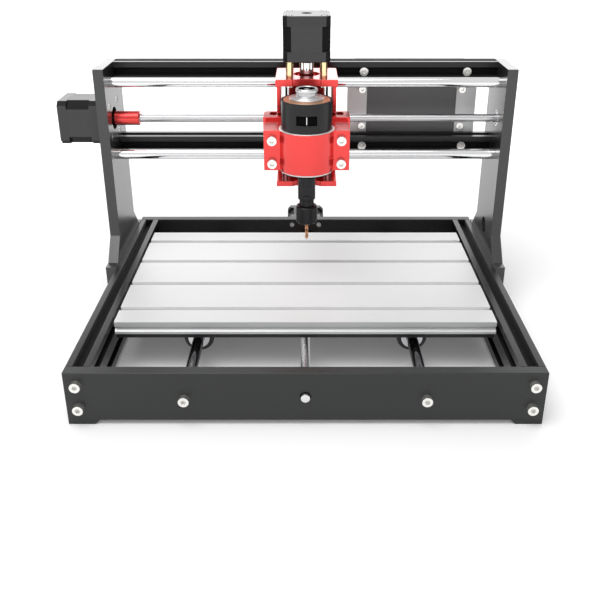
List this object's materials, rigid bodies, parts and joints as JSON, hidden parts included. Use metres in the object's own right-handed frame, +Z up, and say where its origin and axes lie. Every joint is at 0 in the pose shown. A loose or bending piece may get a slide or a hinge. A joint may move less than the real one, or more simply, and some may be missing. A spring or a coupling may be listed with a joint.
{
  "type": "cnc router",
  "caption": "Desktop three-axis router: leadscrew gantry carriage with a Z slide, clamped spindle and collet chuck over a slotted table that slides in a low aluminium base.",
  "frame": {"origin": "centre of the whole machine's footprint, motors included, on the surface it stands on", "axes": "+X to the right along the gantry, +Y to the back, +Z up"},
  "size_m": [0.44, 0.375, 0.293],
  "materials": {
    "black_plate": "satin",
    "black_extrusion": "satin",
    "red_anodised": "satin",
    "silver_aluminium": "satin",
    "polished_rod": "polished",
    "bearing_steel": "polished",
    "screw_steel": "satin",
    "lead_screw_steel": "satin",
    "motor_black": "satin",
    "brass": "satin",
    "motor_can_steel": "satin",
    "copper_tone": "satin",
    "blackened_steel": "satin",
    "collet_steel": "ground",
    "coated_carbide": "polished",
    "box_grey": "matte",
    "board_green": "matte",
    "rocker_black": "gloss"
  },
  "bodies": {
    "frame": {"front_plate": "black_plate", "rear_plate": "black_plate", "left_rail": "black_extrusion", "right_rail": "black_extrusion", "left_upright": "black_plate", "right_upright": "black_plate", "top_beam": "black_extrusion", "lower_beam": "black_extrusion", "frame_screws": "screw_steel", "x_rods": "polished_rod", "y_rods": "polished_rod", "x_motor_body": "motor_black", "y_motor_body": "motor_black", "small_screws": "screw_steel", "screw_bearings": "bearing_steel", "box_strips": "silver_aluminium", "control_box": "box_grey", "box_cover": "black_plate", "circuit_board": "board_green"},
    "x_drive": {"x_motor_rotor": "lead_screw_steel", "x_coupler": "red_anodised", "x_lead_screw": "lead_screw_steel"},
    "y_drive": {"y_motor_rotor": "lead_screw_steel", "y_coupler": "red_anodised", "y_lead_screw": "lead_screw_steel"},
    "table": {"bed": "silver_aluminium", "bed_support_plate": "black_plate", "y_bearing_holders": "black_plate", "y_bearings": "bearing_steel", "y_nut_bracket": "black_plate", "y_nut": "brass", "bed_screws": "screw_steel"},
    "carriage": {"carriage_top_plate": "red_anodised", "carriage_bottom_plate": "red_anodised", "carriage_channel": "red_anodised", "x_bearings": "bearing_steel", "x_nut": "brass", "z_rods": "polished_rod", "carriage_screws": "screw_steel", "z_standoffs": "brass", "z_motor_body": "motor_black", "z_screw_bearing": "bearing_steel"},
    "z_drive": {"z_motor_rotor": "lead_screw_steel", "z_coupler": "silver_aluminium", "z_lead_screw": "lead_screw_steel"},
    "spindle_slide": {"z_slide": "red_anodised", "z_bearings": "bearing_steel", "z_nut": "brass", "spindle_mount": "red_anodised", "mount_screws": "screw_steel", "spindle_sleeve": "motor_black", "spindle_can": "motor_can_steel", "spindle_end_cap": "copper_tone", "spindle_rear_boss": "silver_aluminium"},
    "spindle_rotor": {"spindle_armature": "lead_screw_steel", "collet_chuck": "blackened_steel", "collet": "collet_steel", "collet_nut": "blackened_steel", "end_mill": "coated_carbide"},
    "rocker": {"power_rocker": "rocker_black"}
  },
  "joints": [
    {"name": "carriage_travel", "type": "slide", "parent": "frame", "child": "carriage", "axis": [1, 0, 0], "range_m": [-0.145, 0.155]},
    {"name": "table_travel", "type": "slide", "parent": "frame", "child": "table", "axis": [0, 1, 0], "range_m": [-0.065, 0.041]},
    {"name": "spindle_lift", "type": "slide", "parent": "carriage", "child": "spindle_slide", "axis": [0, 0, 1], "range_m": [-0.0195, 0.0235]},
    {"name": "x_screw_turn", "type": "hinge", "parent": "frame", "child": "x_drive", "pos_m": [0.02, 0.0635, 0.187], "axis": [1, 0, 0], "range_deg": [-7005, 6555]},
    {"name": "y_screw_turn", "type": "hinge", "parent": "frame", "child": "y_drive", "pos_m": [0.02, -0.1825, 0.026], "axis": [0, 1, 0], "range_deg": [-1875, 2955]},
    {"name": "z_screw_turn", "type": "hinge", "parent": "carriage", "child": "z_drive", "pos_m": [0.0211, 0.0225, 0.239], "axis": [0, 0, 1], "range_deg": [-1088, 908]},
    {"name": "spindle_spin", "type": "hinge", "parent": "spindle_slide", "child": "spindle_rotor", "pos_m": [0.0211, -0.0245, 0.134], "axis": [0, 0, 1], "continuous": true},
    {"name": "power_switch", "type": "hinge", "parent": "frame", "child": "rocker", "pos_m": [0.183, 0.114, 0.216], "axis": [0, 1, 0], "range_deg": [-16, 0]}
  ],
  "couplings": [
    {"joint": "x_screw_turn", "follows": "carriage_travel", "rad_per_m": -785.4},
    {"joint": "y_screw_turn", "follows": "table_travel", "rad_per_m": -785.4},
    {"joint": "z_screw_turn", "follows": "spindle_lift", "rad_per_m": -785.4}
  ]
}
